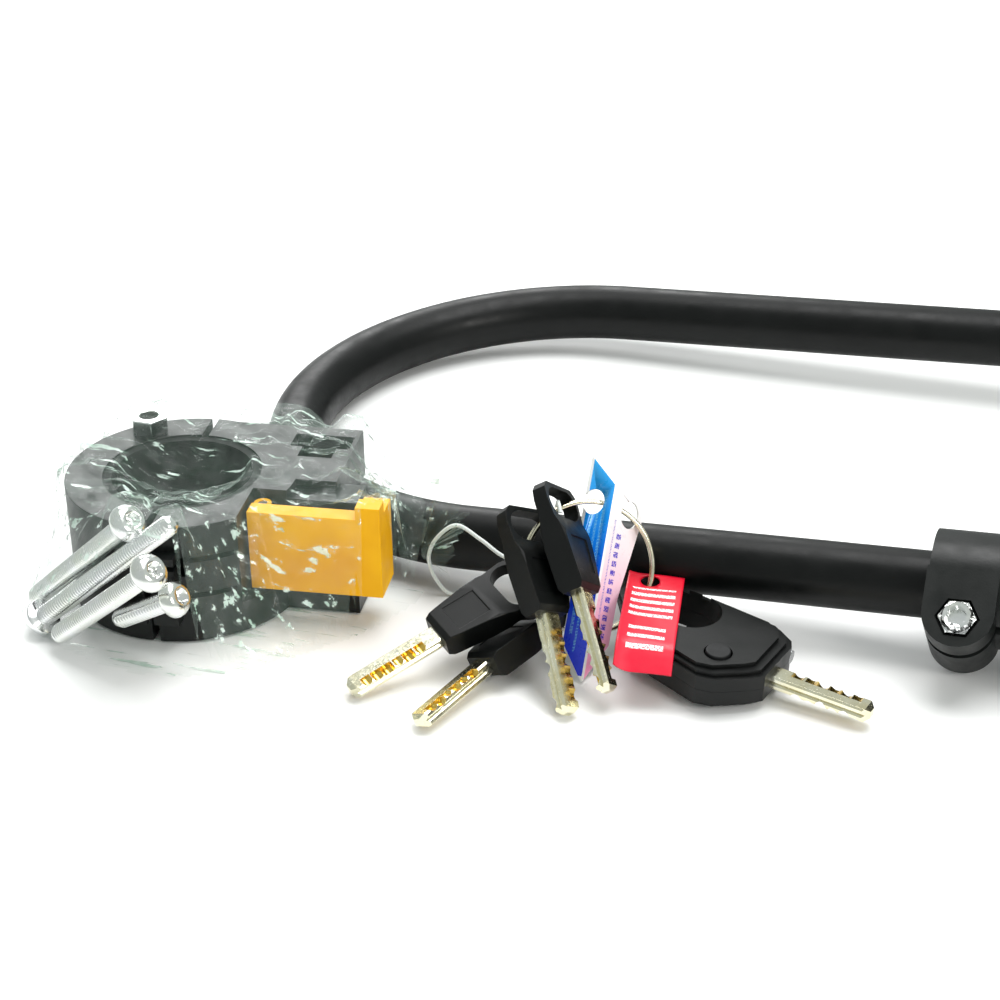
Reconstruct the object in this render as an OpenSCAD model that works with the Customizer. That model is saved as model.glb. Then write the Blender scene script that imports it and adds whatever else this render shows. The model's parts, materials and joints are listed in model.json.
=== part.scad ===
// U lock lying on a table, with its keys, its tags and its bagged frame bracket.
// Lengths are in millimetres. +Z is up and the table top is z = 0.

/* [Shackle] */
// Diameter of the bare steel bar
rod_d = 13; // [12:0.5:14]
// Diameter over the vinyl coating
coat_d = 14.8; // [14.6:0.1:15.2]
// Clear width between the coated legs
inside_w = 117.7; // [110:1:125]
// Clear length from the bend to the crossbar
inside_l = 230; // [220:5:240]

/* [Crossbar] */
// Outer diameter of the crossbar's steel tube
tube_d = 32; // [32:0.5:33]
// Outer diameter over the crossbar's cover
cover_d = 39; // [38:0.5:40]
// Length over the end caps
bar_l = 190; // [188:1:200]
// Travel of each deadbolt
bolt_throw = 6; // [5:0.5:6]

/* [Leg clamp] */
// Distance from the bend's centre to the clamp's first edge
clamp_x = 106; // [100:1:112]
// Length of the clamp along the leg
clamp_l = 40; // [38:1:42]
// Angle that the clamp's ears are turned down towards the table
clamp_turn = 40; // [35:1:45]

/* [Keys] */
// Length of blade standing out of a key's head
blade_l = 22.5; // [21:0.5:24]
// Width of a key blade
blade_w = 4.6; // [4.2:0.1:5]
// Thickness of a key blade
blade_t = 3.2; // [3:0.1:3.4]
// Mean radius of the split ring
ring_r = 14.5; // [14:0.1:15]

/* [Frame bracket] */
// Inner diameter of the bracket's liner, to suit a frame tube
frame_d = 32; // [31:0.5:33]
// Height of the bracket
bracket_h = 29; // [28:0.5:30]

/* [Hidden] */

$fn = 48;
fine = 32;                       // facets of a hulled child
gap = 0.3;                       // air between parts that move past each other

// Place of everything in the frame: the middle of the whole object's footprint is the origin
place = [-60.1, 19.9, 0];

// Shackle
rod_r = rod_d / 2;
coat_r = coat_d / 2;
leg_y = (inside_w + coat_d) / 2; // distance of each leg from the middle
bar_x = inside_l - leg_y + coat_r + cover_d / 2;  // crossbar axis
coat_end = bar_x - cover_d / 2 - 1.7;
foot_x = bar_x + 9.5;
cap_r = cover_d / 2 + 1.5;
notch_half = 5.2;

// The lock rests on the bend's tip and on the end caps
tilt = asin((cap_r - coat_r) / (bar_x + leg_y));
lock_z = coat_r + leg_y * sin(tilt);

module in_lock() {
  translate(place) translate([0, 0, lock_z]) rotate([0, -tilt, 0]) children();
}

// Crossbar's own frame: +X away from the shackle, Y along the bar
module in_bar() {
  in_lock() translate([bar_x, 0, 0]) children();
}

// A cylinder along X from x0 to x1
module along_x(r, x0, x1) {
  translate([x0, 0, 0]) rotate([0, 90, 0]) cylinder(r = r, h = x1 - x0);
}

// A cylinder along Y from y0 to y1
module along_y(r, y0, y1) {
  translate([0, y1, 0]) rotate([90, 0, 0]) cylinder(r = r, h = y1 - y0);
}

// A box given by its two corners
module box(a, b) {
  translate(a) cube(b - a);
}

// ---------------------------------------------------------------- shackle
module u_bar(r, x_end) {
  for (s = [-1, 1]) translate([0, s * leg_y, 0]) along_x(r, 0, x_end);
  rotate([0, 0, 90]) rotate_extrude(angle = 180) translate([leg_y, 0]) circle(r = r);
}

module shackle_rod() {
  color("silver") in_lock() difference() {
    u_bar(rod_r, foot_x);
    for (s = [-1, 1]) {
      // notch that the deadbolt enters, on the side of the foot that faces the other leg
      translate([bar_x, s * (leg_y - rod_r + 2.7), 0])
        cube([2 * notch_half, 5.5, 2 * rod_r + 2], center = true);
      // chamfered foot
      translate([0, s * leg_y, 0]) rotate([0, 90, 0]) translate([0, 0, foot_x - 1.5])
        difference() {
          cylinder(r = rod_r + 1, h = 3);
          cylinder(r1 = rod_r, r2 = rod_r - 3, h = 3, $fn = 64);
        }
    }
  }
}

module shackle_coating() {
  color([0.05, 0.05, 0.05]) in_lock() difference() {
    u_bar(coat_r, coat_end);
    u_bar(rod_r, coat_end + 1);
  }
}

// ---------------------------------------------------------------- leg clamp
liner_t = 0.9;
clamp_r = 12.4;                  // outer radius of the strap
ear_out = 17.6;                  // reach of the ears from the leg's centre
ear_r = 7.6;                     // rounding of each ear
ear_low = -5.0;                  // underside of the lower ear
slot_low = 4.9;                  // the split between the ears
slot_high = 6.8;
clamp_bolt_y = -11.2;
ear_x = [7.2, clamp_l - 7.2];    // ear centres along the clamp
nut_af = 7;                      // across flats
m4 = 4;

module in_clamp() {
  in_lock() translate([clamp_x, -leg_y, 0]) rotate([clamp_turn, 0, 0]) children();
}

// The clamp's own frame turned back so that its +Y lies level, towards the other leg
module turned_to_tongue() {
  rotate([-clamp_turn - 10, 0, 0]) children();
}

module clamp_strap() {
  color([0.07, 0.08, 0.08]) in_clamp() difference() {
    union() {
      along_x(clamp_r, 0, clamp_l);
      for (x = ear_x) {
        translate([x, -(ear_out - ear_r), ear_low]) cylinder(r = ear_r, h = clamp_r - ear_low);
        box([x - ear_r, -(ear_out - ear_r), ear_low], [x + ear_r, 0, clamp_r]);
      }
      turned_to_tongue() box([3, 0, -7.6], [clamp_l - 3, clamp_r - 0.4, 7.6]);
    }
    along_x(coat_r + liner_t, -1, clamp_l + 1);
    box([-1, -ear_out - 1, slot_low], [clamp_l + 1, 0, slot_high]);
    for (x = ear_x) translate([x, clamp_bolt_y, 0]) {
      translate([0, 0, -20]) cylinder(r = m4 / 2 + 0.1, h = 40);
      // hexagon pocket for the nut, round recess for the bolt head
      translate([0, 0, clamp_r - 3]) cylinder(r = 4.75, h = 10, $fn = 6);
      translate([0, 0, ear_low - 1]) cylinder(r = 3.3, h = 3.4);
    }
    // seat of the tongue
    turned_to_tongue() box([8, clamp_r - 2.6, -6.2], [clamp_l - 8, clamp_r + 4, 6.2]);
  }
}

module clamp_liner() {
  color([0.02, 0.02, 0.02]) in_clamp() difference() {
    along_x(coat_r + liner_t, 0.5, clamp_l - 0.5);
    along_x(coat_r, 0, clamp_l);
    box([-1, -20, slot_low + 0.2], [clamp_l + 1, 0, slot_high - 0.2]);
  }
}

// T-shaped rail that slides down into the bracket's socket
module clamp_tongue() {
  color([0.06, 0.06, 0.07]) in_clamp() turned_to_tongue() difference() {
    union() {
      box([8.1, clamp_r - 2.6, -6.1], [clamp_l - 8.1, clamp_r + 0.4, 6.1]);
      box([15.2, clamp_r, -6.1], [24.8, clamp_r + 3.6, 6.1]);
      box([12.2, clamp_r + 3.4, -6.1], [27.8, clamp_r + 6.2, 6.1]);
    }
    // latch hole for the release lever
    box([17, clamp_r + 3, -2.5], [23, clamp_r + 9, 2.5]);
  }
}

module clamp_bolts() {
  color("silver") in_clamp() for (x = ear_x) translate([x, clamp_bolt_y, 0]) {
    translate([0, 0, ear_low + 2.3]) cylinder(r = m4 / 2, h = 14.6);
    difference() {
      translate([0, 0, ear_low - 0.2]) cylinder(r = 3, h = 2.5);
      translate([0, 0, ear_low - 1]) cylinder(r = 1.5, h = 2.6, $fn = 6);
    }
  }
}

module clamp_nuts() {
  color("gainsboro") in_clamp() for (x = ear_x)
    translate([x, clamp_bolt_y, clamp_r - 3]) difference() {
      union() {
        cylinder(r = nut_af / 2 / cos(30), h = 3.2, $fn = 6);
        translate([0, 0, 3.2]) cylinder(r1 = 3.5, r2 = 2.9, h = 1.6, $fn = 64);
      }
      translate([0, 0, -1]) cylinder(r = m4 / 2 + 0.02, h = 8);
    }
}

// ---------------------------------------------------------------- crossbar
tube_r = tube_d / 2;
tube_in = tube_r - 3.2;
cover_r = cover_d / 2;
cap_y = bar_l / 2;
tube_y = cap_y - 7;
cap_lip = cap_y - 15;
housing_r = 10;
bore_r = 7;                      // bore of the housing
bush_r = rod_r + 1.5;            // leg holes in tube and cover

module crossbar_tube() {
  color("silver") in_bar() difference() {
    along_y(tube_r, -tube_y, tube_y);
    along_y(tube_in, -tube_y - 1, tube_y + 1);
    for (s = [-1, 1]) translate([0, s * leg_y, 0]) along_x(bush_r, -tube_r - 1, 0);
    along_x(housing_r + 0.05, 0, tube_r + 1);
    translate([4, 8.6, -20]) cylinder(r = 1.02, h = 40);
    for (s = [-1, 1]) translate([0, s * (tube_y - 3), -20]) cylinder(r = 1.52, h = 40);
  }
}

module crossbar_cover() {
  color([0.05, 0.05, 0.05]) in_bar() difference() {
    along_y(cover_r, -cap_lip - 3, cap_lip + 3);
    along_y(tube_r + 0.02, -tube_y, tube_y);
    for (s = [-1, 1]) translate([0, s * leg_y, 0]) along_x(bush_r, -cover_r - 1, 0);
    along_x(12.8, 0, cover_r + 1);
  }
}

// Cup-shaped end cap with a rounded rim, made for the +Y end
module end_cap() {
  difference() {
    rotate([-90, 0, 0]) rotate_extrude() {
      translate([0, cap_lip]) square([cap_r, cap_y - 4 - cap_lip]);
      translate([0, cap_lip]) square([cap_r - 4, cap_y - cap_lip]);
      translate([cap_r - 4, cap_y - 4]) circle(r = 4);
    }
    difference() {
      along_y(cover_r + 0.05, cap_lip - 1, cap_lip + 3.05);
      along_y(tube_r - 9, cap_lip - 2, cap_lip + 6);
    }
    difference() {
      along_y(tube_r + 0.05, cap_lip - 1, tube_y + 0.05);
      along_y(tube_in - 0.05, cap_lip - 2, tube_y + 1);
    }
    along_y(tube_in - 3, cap_lip - 1, cap_y - 4);
    translate([0, tube_y - 3, -20]) cylinder(r = 1.52, h = 20 + tube_in + 3.6);
  }
}

module end_cap_far() {
  color([0.06, 0.06, 0.06]) in_bar() end_cap();
}

module end_cap_near() {
  color([0.06, 0.06, 0.06]) in_bar() mirror([0, 1, 0]) end_cap();
}

module cap_pins() {
  color("silver") in_bar() for (s = [-1, 1])
    translate([0, s * (tube_y - 3), -tube_r + 0.5]) difference() {
      cylinder(r = 1.5, h = 2 * tube_r - 1);
      translate([0, 0, -1]) cylinder(r = 0.8, h = 2 * tube_r + 1);
    }
}

// Ferrule that lines a leg hole, with a flange that sits on the cover
module leg_bushing() {
  difference() {
    union() {
      along_x(bush_r - 0.05, -cover_r - 1, -tube_in + 0.6);
      difference() {
        along_x(bush_r + 1.4, -cover_r - 1, -cover_r + 4);
        along_y(cover_r + 0.02, -20, 20);
      }
    }
    along_x(rod_r + 0.4, -cover_r - 2, 0);
  }
}

module leg_bushing_near() {
  color([0.1, 0.1, 0.1]) in_bar() translate([0, -leg_y, 0]) leg_bushing();
}

module leg_bushing_far() {
  color([0.1, 0.1, 0.1]) in_bar() translate([0, leg_y, 0]) leg_bushing();
}

bolt_r = 4.5;
guide_y = [25.6, 52];
bolt_y = [14, leg_y - rod_r - 1.4];   // deadbolt's ends, withdrawn
pin_ring = bolt_throw / (2 * sin(45));  // radius of the cam's pins
cam_pin_r = 1.2;
arm_x = [-10.4, -8];             // the arms' span along the cylinder's axis

module bolt_guide() {
  difference() {
    along_y(tube_in - 0.05, guide_y[0], guide_y[1]);
    along_y(bolt_r + 0.06, guide_y[0] - 1, guide_y[1] + 1);
    along_y(bolt_r + 2.5, guide_y[0] + 6, guide_y[1] - 6);
  }
}

module bolt_guide_far() {
  color("dimgray") in_bar() bolt_guide();
}

module bolt_guide_near() {
  color("dimgray") in_bar() rotate([180, 0, 0]) bolt_guide();
}

// Deadbolt with the arm that the cam drives, made for the +Y side
module lock_bolt() {
  pin_y = -pin_ring * sin(45);
  difference() {
    union() {
      along_y(bolt_r, bolt_y[0], bolt_y[1]);
      box([arm_x[0], bolt_y[0], 0.8], [0, bolt_y[0] + 5, 4.4]);
      box([arm_x[0], pin_y - 2.9, 0.8], [arm_x[1], bolt_y[0] + 5, 6.3]);
    }
    // slot that the cam's pin slides in
    box([arm_x[0] - 1, pin_y - cam_pin_r - 0.22, -1], [arm_x[1] + 1, pin_y + cam_pin_r + 0.22, 5.8]);
  }
}

module lock_bolt_far() {
  color("lightsteelblue") in_bar() lock_bolt();
}

module lock_bolt_near() {
  color("lightsteelblue") in_bar() rotate([180, 0, 0]) lock_bolt();
}

cyl_x = [-2.2, 18.4];            // the plug's span
disc_n = 7;
disc_t = 1.7;
disc_gap = 0.5;
disc_r = 5.3;
plug_r = bore_r - 0.06;
shaft_r = 2.5;
key_hole = [blade_t + 0.5, blade_w + 0.5];

module lock_housing() {
  color("goldenrod") in_bar() difference() {
    union() {
      along_x(housing_r, -5.4, 19.5);
      along_x(housing_r - 0.6, -7.6, -5.4);
    }
    along_x(bore_r, cyl_x[0] - 0.2, 30);
    along_x(shaft_r + 0.06, -20, 0);
    along_x(6.3, -8, -5.2);
    translate([4, 8.6, -20]) cylinder(r = 1.02, h = 40);
    // groove for the sidebar
    translate([0, 0, bore_r]) along_x(0.9, cyl_x[0] + 1, 16);
    // clear of the tube's inside wall
    difference() {
      box([-20, -20, -20], [0, 20, 20]);
      along_y(tube_in - 0.05, -21, 21);
    }
  }
}

module housing_pin() {
  color("silver") in_bar() translate([4, 8.6, -15]) cylinder(r = 1, h = 30);
}

module lock_bezel() {
  color("dimgray") in_bar() difference() {
    along_x(12.5, 8, 21);
    along_y(tube_r + 0.02, -20, 20);
    along_x(housing_r + 0.05, 0, 19.6);
    along_x(5.6, 0, 30);
    translate([0, 9.2, 0]) along_x(1.0, 19.6, 30);
  }
}

// Leaf that turns aside from the keyway
module dust_cover() {
  color([0.08, 0.08, 0.08]) in_bar() translate([21.3, 0, 0]) difference() {
    union() {
      along_x(6.4, 0, 1.4);
      translate([0, 9.2, 0]) along_x(2.8, 0, 1.4);
      linear_yz([[6.0, 2.2], [9.9, 2.7], [9.9, -2.7], [6.0, -2.2]], 1.4);
      translate([0, -3.6, 0]) box([1.4, -0.7, -3], [2.4, 0.7, 3]);
    }
    translate([0, 9.2, 0]) along_x(1.06, -1, 3);
  }
}

// An outline in the YZ plane, extruded along +X
module linear_yz(points, t) {
  rotate([90, 0, 90]) linear_extrude(height = t) polygon(points);
}

module dust_cover_pin() {
  color("silver") in_bar() translate([0, 9.2, 0]) {
    along_x(1.0, 19.7, 23);
    along_x(1.9, 23, 23.8);
  }
}

module lock_plug() {
  color("gold") in_bar() difference() {
    along_x(plug_r, cyl_x[0], cyl_x[1]);
    along_x(disc_r + 0.05, cyl_x[0] + 1.2, cyl_x[1] - 1.5);
    box([-5, -key_hole[1] / 2, -key_hole[0] / 2], [30, key_hole[1] / 2, key_hole[0] / 2]);
    box([cyl_x[0] + 1.2, -0.95, disc_r - 1], [cyl_x[1] - 3, 0.95, plug_r + 1]);
  }
}

// One disc with its keyway and its gate
module disc(t) {
  difference() {
    along_x(disc_r, 0, t);
    box([-1, -key_hole[1] / 2, -key_hole[0] / 2], [5, key_hole[1] / 2, key_hole[0] / 2]);
    translate([-1, 0, disc_r]) along_x(1.0, 0, 9);
  }
}

module lock_discs() {
  color("khaki") in_bar() for (i = [0 : disc_n - 1])
    translate([cyl_x[0] + 1.3 + i * (disc_t + disc_gap), 0, 0]) disc(disc_t);
}

module disc_spacers() {
  color("silver") in_bar() for (i = [0 : disc_n - 2])
    translate([cyl_x[0] + 1.3 + disc_t + i * (disc_t + disc_gap) + 0.03, 0, 0])
      disc(disc_gap - 0.06);
}

module guard_disc() {
  color("slategray") in_bar() translate([15, 0, 0]) disc(1.7);
}

module sidebar() {
  color("silver") in_bar() translate([0, 0, disc_r + 0.75]) along_x(0.85, 0, 13.4);
}

module drive_cam() {
  color("silver") in_bar() {
    along_x(shaft_r, -5.8, cyl_x[0]);
    along_x(6.2, -7.4, -5.8);
    for (a = [-45, 135]) rotate([-a, 0, 0])
      translate([0, 0, pin_ring]) along_x(cam_pin_r, -10.7, -7.4);
  }
}

// ---------------------------------------------------------------- key ring
ring_c = [32.7, -83, 17.9];    // centre of the split ring
ring_up = 23.8;                  // lean of the ring from upright
ring_turn = 30.4;                 // turn of the ring about the vertical
wire = [1.5, 2.2];               // radial and axial size of the two turns together

module in_ring() {
  translate(place) translate(ring_c) rotate([0, 0, ring_turn]) rotate([90 - ring_up, 0, 0])
    children();
}

module key_ring() {
  color("silver") in_ring() rotate_extrude($fn = 96) translate([ring_r, 0]) {
    square([wire[0] - 0.6, wire[1]], center = true);
    square([wire[0], wire[1] - 0.6], center = true);
  }
}

// ---------------------------------------------------------------- keys
head_l = 24.8;
head_t = 6;
slot_at = 20.3;                    // ring slot, measured back from the shoulder
tang_l = 7;
slot_half = 3.55;                // rounding of the slot's ends
slot_y = 2.7;

// Blade section with a V groove along each side, in the YZ plane
blade_section = [
  [-blade_w / 2, -blade_t / 2 + 0.4], [-blade_w / 2 + 0.4, -blade_t / 2],
  [blade_w / 2 - 0.4, -blade_t / 2], [blade_w / 2, -blade_t / 2 + 0.4],
  [blade_w / 2, -0.5], [blade_w / 2 - 0.6, 0], [blade_w / 2, 0.5],
  [blade_w / 2, blade_t / 2 - 0.4], [blade_w / 2 - 0.4, blade_t / 2],
  [-blade_w / 2 + 0.4, blade_t / 2], [-blade_w / 2, blade_t / 2 - 0.4],
  [-blade_w / 2, 0.5], [-blade_w / 2 + 0.6, 0], [-blade_w / 2, -0.5]
];

// Places and depths of the cuts along the blade's upper face
cut_x = [5, 8, 10.6, 13.4, 16, 18.6];

// A blade with a pointed tip and cuts along two opposite edges
module key_blade(cut_depths) {
  difference() {
    intersection() {
      translate([-tang_l, 0, 0]) linear_yz(blade_section, tang_l + blade_l);
      translate([0, 0, -5]) linear_extrude(height = 10) mirrored_outline(
        [[blade_l, 0.9], [blade_l - 1.6, blade_w / 2 + 0.1], [-tang_l - 1, blade_w / 2 + 0.1]]);
      rotate([90, 0, 0]) translate([0, 0, -5]) linear_extrude(height = 10) mirrored_outline(
        [[blade_l + 0.5, 0.5], [blade_l - 1.2, blade_t / 2 + 0.1], [-tang_l - 1, blade_t / 2 + 0.1]]);
    }
    for (i = [0 : len(cut_x) - 1]) {
      translate([cut_x[i], 0.2, blade_t / 2 + 1.4 - cut_depths[i]])
        rotate([-90, 0, 0]) cylinder(r = 1.4, h = blade_w);
      translate([cut_x[i] + 1.2, -0.2 - blade_w, -blade_t / 2 - 1.4 + cut_depths[i]])
        rotate([-90, 0, 0]) cylinder(r = 1.4, h = blade_w);
    }
  }
}

// Half outline of a key's head, from the shoulder back to the ring end
head_side = [[0, 4.2], [-3, 4.8], [-21, 7.5], [-23.3, 7.1], [-head_l, 5.6]];

module mirrored_outline(side) {
  n = len(side);
  polygon(concat(side, [for (i = [n - 1 : -1 : 0]) [side[i][0], -side[i][1]]]));
}

module key_head() {
  difference() {
    intersection() {
      translate([0, 0, -10]) linear_extrude(height = 20) mirrored_outline(head_side);
      // side profile: thinner at the ring end
      rotate([90, 0, 0]) translate([0, 0, -20]) linear_extrude(height = 40) mirrored_outline(
        [[0, head_t / 2 - 0.8], [-1.2, head_t / 2], [-13, head_t / 2], [-16.5, 1.8], [-head_l, 1.5]]);
      // bevelled long edges
      translate([-head_l - 1, 0, 0]) linear_yz([
        [-8.4, -1], [-5.8, -head_t / 2], [5.8, -head_t / 2], [8.4, -1],
        [8.4, 1], [5.8, head_t / 2], [-5.8, head_t / 2], [-8.4, 1]], head_l + 2);
    }
    // pocket that holds the blade's tang
    translate([-tang_l - 0.02, 0, 0]) linear_yz(blade_section, tang_l + 2);
    // ring slot
    box([-slot_at - slot_half, -slot_y, -10], [-slot_at + slot_half, slot_y, 10]);
    for (s = [-1, 1]) translate([-slot_at, s * slot_y, -10]) cylinder(r = slot_half, h = 20);
    // shallow panel on each face
    for (s = [-1, 1]) translate([0, 0, s * head_t / 2])
      box([-12, -3.6, -0.3], [-4, 3.6, 0.3]);
  }
}

// Each key: blade tip, turn about the vertical, dip of the tip, roll about the blade
key_tip = [[-8.8, -121.8, 2.35], [9.5, -129.4, 2.5], [38.2, -115.8, 1.6], [45.1, -110, 4.8]];
key_turn = [-131.6, -109.5, -58.2, -54.2];
key_dip = [16.6, 5.9, 37.4, 39.6];
key_roll = [-12.3, 23.5, -33.2, -49.4];
key_cuts = [
  [0.7, 1.2, 0.5, 1.3, 0.9, 0.6], [1.2, 0.6, 1.0, 0.5, 1.3, 0.8],
  [0.6, 1.0, 1.3, 0.7, 0.5, 1.1], [0.9, 0.5, 1.2, 1.0, 0.7, 1.3]
];

module in_key(i) {
  translate(place) translate(key_tip[i]) rotate([key_roll[i], key_dip[i], key_turn[i]])
    translate([-blade_l, 0, 0]) children();
}

module key_blade_at(i) {
  color("palegoldenrod") in_key(i) key_blade(key_cuts[i]);
}

module key_head_at(i) {
  color([0.05, 0.05, 0.05]) in_key(i) key_head();
}

module key_1_blade() { key_blade_at(0); }
module key_1_head() { key_head_at(0); }
module key_2_blade() { key_blade_at(1); }
module key_2_head() { key_head_at(1); }
module key_3_blade() { key_blade_at(2); }
module key_3_head() { key_head_at(2); }
module key_4_blade() { key_blade_at(3); }
module key_4_head() { key_head_at(3); }

// ---------------------------------------------------------------- lighted key
light_tip = [99.2, -100.1, 3.7];
light_turn = -13;
light_dip = 4;
light_half = 5.2;                // half thickness of its head
light_outline = [[0, -5], [-2, -7.4], [-8, -12.4], [-12, -13.4], [-30, -8.2], [-36, -2.2], [-41.6, 5],
                 [-41.6, 10], [-37, 13.6], [-26, 14.4], [-5, 12.6], [-1, 10], [0, 8]];
light_mid = [-21, 1.5];
light_hole = [-27.4, 5.6];
light_hole_half = [4.1, 6.9];
light_bar_x = -35.6;              // the ring's bar starts here
light_bar_z = 2.9;
button_at = [-11, -5.5];
lens_y = 9;

module in_light() {
  translate(place) translate(light_tip) rotate([0, light_dip, light_turn])
    translate([-blade_l, 0, 0]) children();
}

// The head's outline, drawn in by about d all round with straight sides
module light_plan(h, d) {
  s = 1 - d / 16;
  translate(light_mid) scale(s) translate(-light_mid)
    linear_extrude(height = h / s) polygon(light_outline);
}

module light_head() {
  light_plan(light_half - 2, 0);
  translate([0, 0, light_half - 2.1]) light_plan(1.1, 0.9);
  translate([0, 0, light_half - 1.1]) light_plan(1.1, 2.2);
}

module light_hole_cut() {
  translate([light_hole[0], light_hole[1], -10]) {
    for (s = [-1, 1]) translate([s * light_hole_half[0], 0, 0])
      cylinder(r = light_hole_half[1], h = 20);
    box([-light_hole_half[0], -light_hole_half[1], 0], [light_hole_half[0], light_hole_half[1], 20]);
  }
}

module light_inside() {
  translate([-tang_l - 0.02, 0, 0]) linear_yz(blade_section, tang_l + 9);
  translate([-14, 0, -2.1]) cylinder(r = 5.4, h = 4.2);
  translate([-6.5, lens_y, 0]) along_x(1.6, 0, 10);
  box([-45, -20, -10], [light_bar_x, 20, light_bar_z]);
}

module light_key_top() {
  color([0.06, 0.06, 0.06]) in_light() difference() {
    translate([0, 0, 0.03]) light_head();
    light_hole_cut();
    light_inside();
    translate([button_at[0], button_at[1], 0]) cylinder(r = 3.1, h = 10);
  }
}

module light_key_bottom() {
  color([0.05, 0.05, 0.05]) in_light() difference() {
    mirror([0, 0, 1]) translate([0, 0, 0.03]) light_head();
    light_hole_cut();
    light_inside();
  }
}

module light_key_blade() {
  color("palegoldenrod") in_light() key_blade([1.0, 0.6, 1.3, 0.8, 1.2, 0.5]);
}

module light_key_button() {
  color([0.1, 0.1, 0.1]) in_light() translate([button_at[0], button_at[1], 2.3])
    cylinder(r = 2.7, h = light_half - 1.7);
}

module light_key_lens() {
  color("white") in_light() translate([-6.4, lens_y, 0]) along_x(1.55, 0, 6.2);
}

module light_key_battery() {
  color("silver") in_light() translate([-14, 0, -1.8]) cylinder(r = 5.2, h = 3.6);
}

// ---------------------------------------------------------------- card and tag
card_foot = [36.7, -101.6, 0.5];
card_lean = 37;
card_len = 43.5;
card_t = 0.45;
card_hole = [6.3, 37.9];        // on the right leaf: the ring passes through it
card_notch = [4.8, 39.3];       // on the left leaf
card_hole_r = 3;
card_notch_r = 2.8;
card_turn = [160, 64];          // directions of the left and the right leaf

// One leaf of the card, drawn from the fold outwards
module leaf(turn, points) {
  rotate([0, 0, turn]) rotate([90, 0, 0]) translate([0, 0, -card_t / 2])
    linear_extrude(height = card_t) polygon(points);
}

// A round hole through one leaf
module through_leaf(turn, at, r) {
  rotate([0, 0, turn]) translate([at[0], 0, at[1]]) rotate([90, 0, 0])
    cylinder(r = r, h = 6 * card_t, center = true);
}

// Folded card: the fold faces forward and two leaves run back from it
module code_card() {
  color("royalblue") translate(place) translate(card_foot) rotate([-card_lean, 0, 0])
    difference() {
      union() {
        leaf(card_turn[0], [[0, 0], [6.5, 8], [6.6, 16], [7.2, 20], [7.2, card_len + 6], [0, card_len]]);
        leaf(card_turn[1], [[0, 0], [6.8, 9], [7, 19], [7.5, 22], [10.8, card_len - 6], [9.6, card_len - 3],
                            [0, card_len]]);
        cylinder(r = card_t / 2, h = card_len);
      }
      through_leaf(card_turn[1], card_hole, card_hole_r);
      through_leaf(card_turn[0], card_notch, card_notch_r);
    }
}

tag_w = 12.4;
tag_edge = 7.4;                  // from the tag's hole to its right edge
tag_t = 0.4;

// Tag on the ring: it lies on the lighted key and bends down over the key's front edge
module care_tag() {
  color("crimson") in_light() translate([-35.4, 9.6, light_half + 0.3]) rotate([0, 0, 23])
    difference() {
      translate([tag_edge - tag_w, 0, 0]) linear_yz([
        [2.8, 0], [2.8, tag_t], [-25.1, tag_t], [-29.3, -4.1], [-29, -4.4], [-25, 0]], tag_w);
      translate([0, 0, -1]) cylinder(r = 2.4, h = 3);
    }
}

// ---------------------------------------------------------------- frame bracket
bracket_c = [-62, -87, 0.6];     // foot of the clamp ring's axis
bracket_turn = 8;
bore_liner = frame_d / 2;
liner_r = bore_liner + 2;
bracket_r = 26.5;
split_half = 0.8;

module in_bracket() {
  translate(place) translate(bracket_c) rotate([0, 0, bracket_turn]) children();
}

// Space that the shackle's bend takes under the bracket's back arm
module bend_space() {
  translate(place) translate([0, 0, -1]) cylinder(r = leg_y + coat_r + 0.8, h = 19.2);
}

socket = [[19.6, 8.4, 7], [32.4, 14.6, 40]];

module bracket_body() {
  color([0.08, 0.09, 0.09]) difference() {
    in_bracket() difference() {
      union() {
        intersection() {
          cylinder(r = bracket_r, h = bracket_h);
          box([split_half, -40, 0], [40, 40, bracket_h]);
        }
        box([split_half, 0, 0], [36, 25.8, bracket_h]);
        box([split_half, -8, 0], [42, 3, bracket_h - 2]);
        box([split_half, -29.5, 6], [6.5, -18, bracket_h - 6]);
      }
      translate([0, 0, -1]) cylinder(r = liner_r, h = bracket_h + 2);
      for (z = [11, 20]) {
        box([4, -40, z], [17.4, -18.6, z + 1.2]);
      }
      // T slot for the lock's tongue
      box([21, 15.8, 8], [35, 22, 40]);
      box([24, 11, 8], [32, 16, 40]);
      // recess behind the lever
      box([18.2, -20, 7.4], [50, -5.6, 40]);
      // seats of the lever's pin and its spring
      translate([lever_hinge[0], lever_hinge[1], 3]) cylinder(r = 1.02, h = 30);
      // bolt holes of the ears
      for (z = [10, 19]) translate([0, -24.6, z]) along_x(2.6, -1, 8);
    }
    bend_space();
    along_leg_space();
  }
}

// Space round the near leg, which lies beside the bracket
module along_leg_space() {
  in_lock() translate([0, -leg_y, 0]) along_x(coat_r + 0.8, -60, 60);
}

module bracket_strap() {
  color([0.08, 0.09, 0.09]) in_bracket() difference() {
    union() {
      intersection() {
        cylinder(r = bracket_r, h = bracket_h);
        box([-40, -40, 0], [-split_half, 40, bracket_h]);
      }
      box([-6.5, -29.5, 6], [-split_half, -18, bracket_h - 6]);
    }
    translate([0, 0, -1]) cylinder(r = liner_r, h = bracket_h + 2);
    for (z = [10, 19]) translate([0, -24.6, z]) along_x(2.6, -8, 1);
  }
}

module bracket_liner() {
  color([0.03, 0.03, 0.03]) in_bracket() difference() {
    translate([0, 0, 0.5]) cylinder(r = liner_r, h = bracket_h - 1);
    translate([0, 0, -1]) cylinder(r = bore_liner, h = bracket_h + 2);
    box([-40, -split_half, -1], [0, split_half, bracket_h + 2]);
  }
}

lever_hinge = [21, -8.2];

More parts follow.
